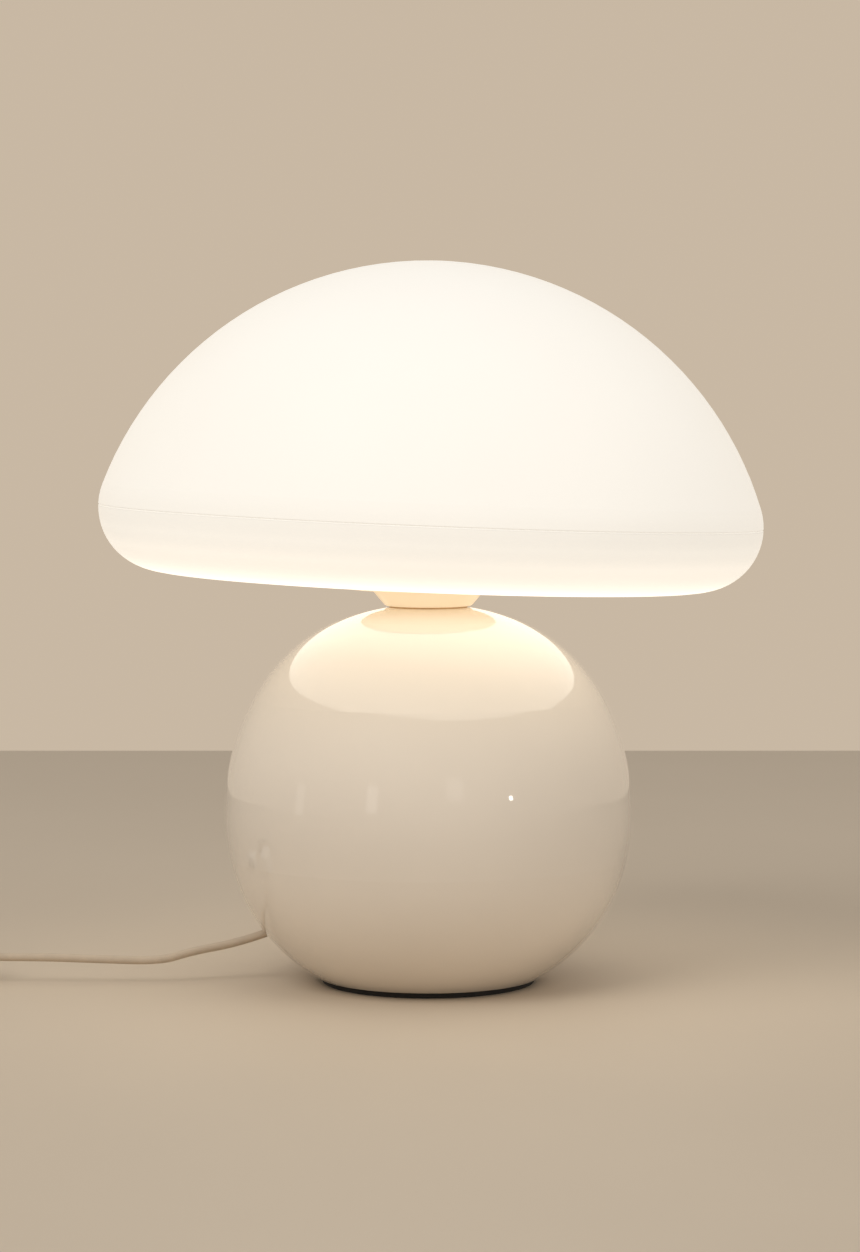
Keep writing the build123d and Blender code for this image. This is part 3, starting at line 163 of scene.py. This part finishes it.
# ------------------------------------------------------------------ materials
CLOUD_LOW = 0.3  # the stretch of the soft noise that colour and roughness follow
CLOUD_HIGH = 0.7
FINER = 12  # how many times finer the relief's noise is
SMOOTHEST = 0.02  # no surface is glossier than this


def add_node(tree, kind, operation=None):
    """One new shader node, with its operation where it has one."""
    made = tree.nodes.new("ShaderNode" + kind)
    if operation:
        made.operation = operation
    return made


def material(name, colour, roughness, metallic=0.0, mottle=0.04, grain=60.0, bump=0.1, depth=0.0001,
             rough_spread=0.06, **sockets):
    """A surface whose colour, roughness and height vary with soft noise.

    The grain is the noise's scale, so a larger one is finer, and the depth of the relief is in metres.
    """
    made = bpy.data.materials.new(name)
    made.use_nodes = True
    tree = made.node_tree
    shader = tree.nodes["Principled BSDF"]
    shader.inputs["Metallic"].default_value = metallic
    for socket, value in sockets.items():
        shader.inputs[socket.replace("_", " ")].default_value = value
    place = add_node(tree, "TexCoord")

    cloud = add_node(tree, "TexNoise")
    cloud.inputs["Scale"].default_value = grain
    cloud.inputs["Detail"].default_value = 4.0
    tree.links.new(place.outputs["Object"], cloud.inputs["Vector"])
    ramp = add_node(tree, "ValToRGB")
    darker, lighter = ramp.color_ramp.elements
    darker.position = CLOUD_LOW
    lighter.position = CLOUD_HIGH
    darker.color = (*[c * (1 - mottle) for c in colour], 1.0)
    lighter.color = (*[min(1.0, c * (1 + mottle)) for c in colour], 1.0)
    tree.links.new(cloud.outputs["Fac"], ramp.inputs["Fac"])
    tree.links.new(ramp.outputs["Color"], shader.inputs["Base Color"])

    spread = add_node(tree, "MapRange")
    spread.inputs["From Min"].default_value = CLOUD_LOW
    spread.inputs["From Max"].default_value = CLOUD_HIGH
    spread.inputs["To Min"].default_value = max(SMOOTHEST, roughness - rough_spread)
    spread.inputs["To Max"].default_value = min(1.0, roughness + rough_spread)
    tree.links.new(cloud.outputs["Fac"], spread.inputs["Value"])
    tree.links.new(spread.outputs["Result"], shader.inputs["Roughness"])

    fine = add_node(tree, "TexNoise")
    fine.inputs["Scale"].default_value = grain * FINER
    fine.inputs["Detail"].default_value = 3.0
    tree.links.new(place.outputs["Object"], fine.inputs["Vector"])
    relief = add_node(tree, "Bump")
    relief.inputs["Strength"].default_value = bump
    relief.inputs["Distance"].default_value = depth
    tree.links.new(fine.outputs["Fac"], relief.inputs["Height"])
    tree.links.new(relief.outputs["Normal"], shader.inputs["Normal"])
    return made


SHADE_SEAT = 0.1833  # the height at which the shade's underside crosses the lamp's axis
SHADE_TILT = math.radians(2.3)
SEAM_HEIGHT = 0.0285  # along the shade's own axis
SEAM_BAND = 0.0006  # each way from the seam
SEAM_LOSS = 0.18  # the share of its light that the seam's notch loses


def glow(made, strength, stops):
    """Lit from inside: a light that changes with the distance from the shade's own tipped axis.

    Stops are a radius in metres and a colour, from the axis outwards. The seam's notch is a little dimmer.
    """
    tree = made.node_tree
    shader = tree.nodes["Principled BSDF"]
    shader.inputs["Emission Strength"].default_value = strength
    place = add_node(tree, "TexCoord")
    axis = (math.sin(SHADE_TILT), 0.0, math.cos(SHADE_TILT))
    from_seat = add_node(tree, "VectorMath", "SUBTRACT")
    from_seat.inputs[1].default_value = (0.0, 0.0, SHADE_SEAT)
    tree.links.new(place.outputs["Object"], from_seat.inputs[0])

    # the colour, by the distance from the axis
    aside = add_node(tree, "VectorMath", "CROSS_PRODUCT")
    aside.inputs[1].default_value = axis
    tree.links.new(from_seat.outputs["Vector"], aside.inputs[0])
    reach = add_node(tree, "VectorMath", "LENGTH")
    tree.links.new(aside.outputs["Vector"], reach.inputs[0])
    near, far = stops[0][0], stops[-1][0]
    share = add_node(tree, "MapRange")
    share.inputs["From Min"].default_value = near
    share.inputs["From Max"].default_value = far
    tree.links.new(reach.outputs["Value"], share.inputs["Value"])
    blend = add_node(tree, "ValToRGB")
    blend.color_ramp.interpolation = "EASE"
    points = blend.color_ramp.elements
    while len(points) < len(stops):
        points.new(0.5)
    for point, (radius, _) in zip(list(points), stops):
        point.position = (radius - near) / (far - near)
    for point, (_, colour) in zip(points, stops):
        point.color = (*colour, 1.0)
    tree.links.new(share.outputs["Result"], blend.inputs["Fac"])

    # the seam's notch, by the height along the axis
    level = add_node(tree, "VectorMath", "DOT_PRODUCT")
    level.inputs[1].default_value = axis
    tree.links.new(from_seat.outputs["Vector"], level.inputs[0])
    band = add_node(tree, "Math", "COMPARE")
    band.inputs[1].default_value = SEAM_HEIGHT
    band.inputs[2].default_value = SEAM_BAND
    tree.links.new(level.outputs["Value"], band.inputs[0])
    keep = add_node(tree, "Math", "MULTIPLY_ADD")
    keep.inputs[1].default_value = -SEAM_LOSS
    keep.inputs[2].default_value = 1.0
    tree.links.new(band.outputs["Value"], keep.inputs[0])
    dim = add_node(tree, "VectorMath", "SCALE")
    tree.links.new(blend.outputs["Color"], dim.inputs[0])
    tree.links.new(keep.outputs["Value"], dim.inputs["Scale"])
    tree.links.new(dim.outputs["Vector"], shader.inputs["Emission Color"])


# Off-white glaze painted warmer: part of its tan is real, and part is the shade's warm light painted into
# the colour.
glaze = material("glaze", (0.84, 0.76, 0.66), 0.07, mottle=0.012, grain=18, bump=0.02, depth=0.0002,
                 rough_spread=0.02, IOR=1.55, Coat_Weight=1.0, Coat_Roughness=0.02)
opal = material("opal", (0.72, 0.70, 0.66), 0.42, mottle=0.008, grain=25, bump=0.02)
glow(opal, 0.44, [(0.02, (0.94, 0.92, 0.87)), (0.15, (1.0, 0.96, 0.88))])
opal_pan = material("opal_pan", (0.72, 0.70, 0.66), 0.42, mottle=0.008, grain=25, bump=0.02)
glow(
    opal_pan, 1.10,
    [
        (0.124, (0.96, 0.90, 0.79)),
        (0.1445, (0.55, 0.52, 0.47)),
        (0.1485, (0.455, 0.437, 0.40)),
        (0.150, (0.40, 0.384, 0.352)),
    ],
)
foam = material("foam", (0.022, 0.021, 0.020), 0.85, mottle=0.3, grain=300, bump=0.6)
seal = material("seal", (0.07, 0.062, 0.055), 0.6, mottle=0.15, grain=120, bump=0.2)
# Painted glow: the neck washer is black rubber, and its brown colour and warm emission paint the shade's
# warm light falling on it.
washer_painted_glow = material("washer_painted_glow", (0.46, 0.31, 0.17), 0.6, mottle=0.12, grain=120, bump=0.2,
                  Emission_Color=(0.55, 0.30, 0.11, 1.0), Emission_Strength=0.22)
# Cream collar; its warm emission is painted light, standing in for the glow that the shade's underside
# throws on it.
neck = material("neck", (0.86, 0.76, 0.61), 0.38, mottle=0.02, grain=60, bump=0.06,
                Emission_Color=(1.0, 0.78, 0.50, 1.0), Emission_Strength=0.36)
zinc = material("zinc", (0.56, 0.56, 0.57), 0.32, metallic=1.0, mottle=0.12, grain=220, bump=0.15)
iron = material("iron", (0.12, 0.12, 0.125), 0.55, metallic=0.6, mottle=0.25, grain=90, bump=0.5)
brass = material("brass", (0.79, 0.60, 0.30), 0.28, metallic=1.0, mottle=0.08, grain=200, bump=0.12)
nickel = material("nickel", (0.72, 0.71, 0.68), 0.22, metallic=1.0, mottle=0.06, grain=200, bump=0.1)
holder = material("holder", (0.82, 0.81, 0.78), 0.36, mottle=0.02, grain=120, bump=0.12)
porcelain = material("porcelain", (0.84, 0.82, 0.78), 0.5, mottle=0.03, grain=140, bump=0.2)
black_glass = material("black_glass", (0.02, 0.02, 0.025), 0.12, mottle=0.1, grain=80, bump=0.05)
bulb_white = material("bulb_white", (0.84, 0.84, 0.82), 0.3, mottle=0.02, grain=100, bump=0.08)
bulb_opal = material("bulb_opal", (0.86, 0.84, 0.78), 0.4, mottle=0.015, grain=80, bump=0.03,
                     Emission_Color=(1.0, 0.90, 0.74, 1.0), Emission_Strength=0.5)
board = material("board", (0.80, 0.80, 0.78), 0.4, mottle=0.03, grain=160, bump=0.05)
chip = material("chip", (0.90, 0.74, 0.20), 0.35, mottle=0.05, grain=300, bump=0.1)
bush = material("bush", (0.74, 0.70, 0.63), 0.5, mottle=0.03, grain=200, bump=0.15)
sheath = material("sheath", (0.57, 0.47, 0.36), 0.42, mottle=0.04, grain=160, bump=0.15)
core = material("core", (0.20, 0.10, 0.05), 0.35, mottle=0.08, grain=200, bump=0.1)
tie = material("tie", (0.80, 0.79, 0.76), 0.4, mottle=0.03, grain=240, bump=0.2)
shell = material("shell", (0.80, 0.78, 0.73), 0.34, mottle=0.02, grain=140, bump=0.14)
button = material("button", (0.82, 0.80, 0.76), 0.26, mottle=0.02, grain=140, bump=0.08)
sleeve = material("sleeve", (0.02, 0.02, 0.02), 0.45, mottle=0.2, grain=240, bump=0.15)

DRESS = {
    # base
    "base_ball": glaze, "foot_pad": foam, "bottom_plate": zinc, "ballast_disc": iron,
    "clamp_tube": zinc, "tube_nuts": brass, "tube_washers": zinc, "neck_washer": washer_painted_glow,
    "neck_collar": neck,
    # shade
    "shade_gasket": seal, "shade_dome": opal, "shade_pan": opal_pan,
    # lampholder
    "holder_cap": holder, "holder_barrel": holder, "holder_insert": porcelain, "holder_shell": brass,
    "terminal_screws": brass, "centre_contact": brass,
    # bulb
    "bulb_tip": brass, "bulb_insulator": black_glass, "bulb_cap": nickel, "bulb_housing": bulb_white,
    "bulb_board": board, "bulb_chips": chip, "bulb_globe": bulb_opal,
    # cord
    "cord_bush": bush, "lead_stop_tie": tie, "inner_lead": sheath, "core_wires": core,
    "cord_lead": sheath, "cord_tail": sheath, "cord_coil": sheath, "cord_end": sheath, "coil_tie": tie,
    # switch
    "switch_lower": shell, "switch_upper": shell, "switch_screws": zinc, "rocker": button,
    "rocker_pin": zinc, "contact_seesaw": brass, "switch_contacts": brass, "switch_cores": core,
    "cord_clamps": holder,
    # plug
    "plug_body": shell, "plug_pins": nickel, "plug_sleeves": sleeve,
}
for name, surface in DRESS.items():
    slots = nodes[name].data.materials
    slots.clear()
    slots.append(surface)
for cord in (lead, rest):
    cord.data.materials.append(sheath)

# ------------------------------------------------------------------ table top
FAR_EDGE = 1.05  # gives the photograph's line between table and wall
NEAR_EDGE = -2 * FAR_EDGE
HALF_WIDTH = 3.0

corners = [
    (-HALF_WIDTH, NEAR_EDGE, 0.0),
    (HALF_WIDTH, NEAR_EDGE, 0.0),
    (HALF_WIDTH, FAR_EDGE, 0.0),
    (-HALF_WIDTH, FAR_EDGE, 0.0),
]
floor_data = bpy.data.meshes.new("table_top")
floor_data.from_pydata(corners, [], [(0, 1, 2, 3)])
floor_data.materials.append(
    material("table_top", (0.66, 0.56, 0.44), 0.62, mottle=0.02, grain=6, bump=0.05, depth=0.0003)
)
floor = bpy.data.objects.new("table_top", floor_data)
scene.collection.objects.link(floor)

# ------------------------------------------------------------------ light
ROOM_LIGHT = (1.0, 0.98, 0.95, 1.0)
ROOM_STRENGTH = 0.43
WALL = (0.58, 0.48, 0.37, 1.0)


def studio_world():
    """A pale room: it lights with one colour, and shows another to the camera and in reflections."""
    world = bpy.data.worlds.new("studio")
    scene.world = world
    world.use_nodes = True
    sky = world.node_tree
    sky.nodes.clear()
    lit = add_node(sky, "Background")
    lit.inputs["Color"].default_value = ROOM_LIGHT
    lit.inputs["Strength"].default_value = ROOM_STRENGTH
    seen = add_node(sky, "Background")
    seen.inputs["Color"].default_value = WALL
    seen.inputs["Strength"].default_value = 1.0
    path = add_node(sky, "LightPath")
    seen_or_mirrored = add_node(sky, "Math", "MAXIMUM")
    sky.links.new(path.outputs["Is Camera Ray"], seen_or_mirrored.inputs[0])
    sky.links.new(path.outputs["Is Glossy Ray"], seen_or_mirrored.inputs[1])
    shown = add_node(sky, "Math", "MAXIMUM")
    sky.links.new(seen_or_mirrored.outputs[0], shown.inputs[0])
    sky.links.new(path.outputs["Is Transmission Ray"], shown.inputs[1])
    mix = add_node(sky, "MixShader")
    sky.links.new(shown.outputs[0], mix.inputs["Fac"])
    sky.links.new(lit.outputs[0], mix.inputs[1])
    sky.links.new(seen.outputs[0], mix.inputs[2])
    out = add_node(sky, "OutputWorld")
    sky.links.new(mix.outputs[0], out.inputs["Surface"])


def lamp(name, place, target, size, power, colour, mirrored=False):
    """A soft light turned to a target, with a width and a height. Only a mirrored one shows in the glaze."""
    data = bpy.data.lights.new(name, "AREA")
    data.shape = "RECTANGLE"
    data.size, data.size_y = size
    data.energy = power
    data.color = colour
    piece = bpy.data.objects.new(name, data)
    piece.location = place
    piece.rotation_euler = (Vector(target) - Vector(place)).to_track_quat("-Z", "Y").to_euler()
    piece.visible_glossy = mirrored
    scene.collection.objects.link(piece)


studio_world()
CENTRE = (0.0, 0.0, 0.15)
lamp("key", (-1.2, -1.5, 1.9), CENTRE, (1.4, 1.4), 21.0, (1.0, 0.97, 0.93))
lamp("fill", (1.6, -1.1, 1.2), CENTRE, (1.6, 1.6), 8.0, (1.0, 0.97, 0.94))

# The small bright point and the faint upright windows that the glaze mirrors:
# a name, a place, the spot on the ball that mirrors it, a size and a power.
CANDLE = (1.0, 0.95, 0.88)
MIRRORED = [
    ("spark", (1.343, -1.296, 0.342), (0.036, -0.084, 0.093), (0.055, 0.055), 0.18),
    ("window_a", (-0.960, -1.604, 0.352), (-0.024, -0.088, 0.093), (0.20, 0.40), 0.14),
    ("window_b", (0.465, -1.779, 0.523), (0.011, -0.090, 0.097), (0.30, 0.34), 0.12),
    ("window_c", (-1.803, -0.488, 0.215), (-0.056, -0.073, 0.091), (0.18, 0.38), 0.07),
]
for name, place, spot, size, power in MIRRORED:
    lamp(name, place, spot, size, power, CANDLE, mirrored=True)

scene.view_settings.view_transform = "Standard"
